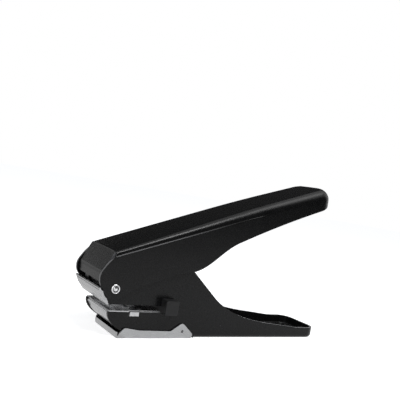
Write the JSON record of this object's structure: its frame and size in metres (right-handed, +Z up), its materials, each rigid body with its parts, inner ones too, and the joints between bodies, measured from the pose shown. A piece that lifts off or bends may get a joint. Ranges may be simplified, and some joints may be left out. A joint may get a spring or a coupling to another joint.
{
  "type": "hand-held slot punch for id cards",
  "caption": "Hand-held slot punch with a sprung pressed-steel lever over a channel handle, plated jaws, a slide-in card throat with a depth stop, and a hinged chip tray under the die.",
  "frame": {"origin": "on the surface that the tool stands on, under the middle of its box", "axes": "+X from the jaws to the ends of the handles, +Z up, +Y to the side away from the camera of the picture"},
  "size_m": [0.1672, 0.046, 0.1013],
  "materials": {
    "black_paint": "satin",
    "plated_steel": "satin",
    "bare_steel": "satin",
    "tool_steel": "ground",
    "spring_steel": "satin",
    "screw_zinc": "satin",
    "black_plastic": "matte"
  },
  "bodies": {
    "body": {"body_channel": "black_paint", "pivot_rivet": "plated_steel", "pivot_sleeve": "bare_steel", "pivot_washers": "bare_steel", "return_springs": "spring_steel", "upper_jaw_plate": "plated_steel", "punch_guide": "bare_steel", "guide_screws": "screw_zinc", "lower_jaw_plate": "plated_steel", "die_block": "tool_steel", "die_screws": "screw_zinc", "stop_pin": "bare_steel"},
    "lever": {"lever_channel": "black_paint", "press_bracket": "bare_steel", "drive_pin": "bare_steel", "pin_clips": "spring_steel"},
    "punch": {"punch_blade": "tool_steel"},
    "tray": {"chip_tray": "plated_steel"},
    "depth_stop": {"depth_stop_slide": "black_plastic", "depth_stop_cap": "black_plastic"}
  },
  "joints": [
    {"name": "lever_squeeze", "type": "hinge", "parent": "body", "child": "lever", "pos_m": [-0.0735, 0, 0.0275], "axis": [0, 1, 0], "range_deg": [0, 20], "stiffness_Nm_per_rad": 0.6, "springref_deg": -40.11, "deforming": ["return_springs"]},
    {"name": "punch_stroke", "type": "slide", "parent": "body", "child": "punch", "axis": [0, 0, 1], "range_m": [-0.0055, 0]},
    {"name": "tray_open", "type": "hinge", "parent": "body", "child": "tray", "pos_m": [-0.026, 0, 0.0042], "axis": [0, 1, 0], "range_deg": [-55, 0]},
    {"name": "depth_stop_slide", "type": "slide", "parent": "body", "child": "depth_stop", "axis": [1, 0, 0], "range_m": [-0.01, 0]}
  ],
  "couplings": [
    {"joint": "punch_stroke", "follows": "lever_squeeze", "m_per_rad": -0.015204}
  ]
}
